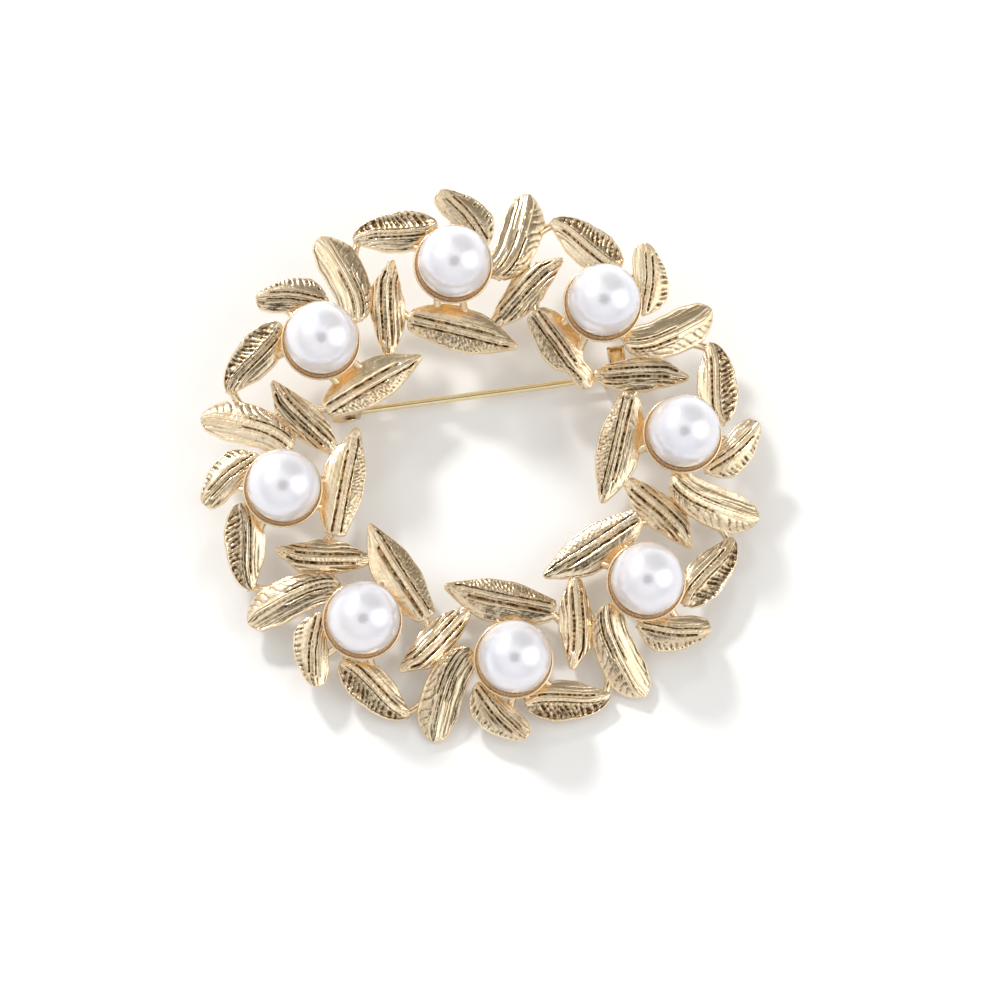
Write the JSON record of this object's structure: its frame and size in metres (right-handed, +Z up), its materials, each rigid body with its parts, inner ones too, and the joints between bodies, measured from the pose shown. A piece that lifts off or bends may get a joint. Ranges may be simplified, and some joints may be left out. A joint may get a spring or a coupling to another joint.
{
  "type": "wreath brooch",
  "caption": "Round openwork leaf wreath brooch set with pearls in cups, with a hinged pin stem and a turning safety catch on its back.",
  "frame": {"origin": "middle of the underside of the whole brooch's box, on the surface that it rests on", "axes": "+X along the pin from hinge to catch, +Y to the top edge of the brooch, +Z up from the surface, the front of the brooch facing up"},
  "size_m": [0.0442, 0.0438, 0.0122],
  "materials": {
    "gilt_metal": "satin champagne gold plating, dark in the grooves",
    "pearl": "white pearl lustre",
    "pin_wire": "smooth gilt wire",
    "findings": "smooth gilt stampings"
  },
  "bodies": {
    "wreath": {"wreath_casting": "gilt_metal", "pearl_1": "pearl", "pearl_2": "pearl", "pearl_3": "pearl", "pearl_4": "pearl", "pearl_5": "pearl", "pearl_6": "pearl", "pearl_7": "pearl", "pearl_8": "pearl", "hinge_rivet": "findings"},
    "pin": {"pin_stem": "pin_wire"},
    "lever": {"catch_lever": "findings"}
  },
  "joints": [
    {"name": "pin_hinge", "type": "hinge", "parent": "wreath", "child": "pin", "pos_m": [-0.00925, 0.00686, 0.00104], "axis": [0, 0.9899, 0.1419], "range_deg": [0, 80]},
    {"name": "catch_turn", "type": "hinge", "parent": "wreath", "child": "lever", "pos_m": [0.0122, 0.00686, 0.00104], "axis": [1, 0, 0], "range_deg": [0, 75]}
  ]
}
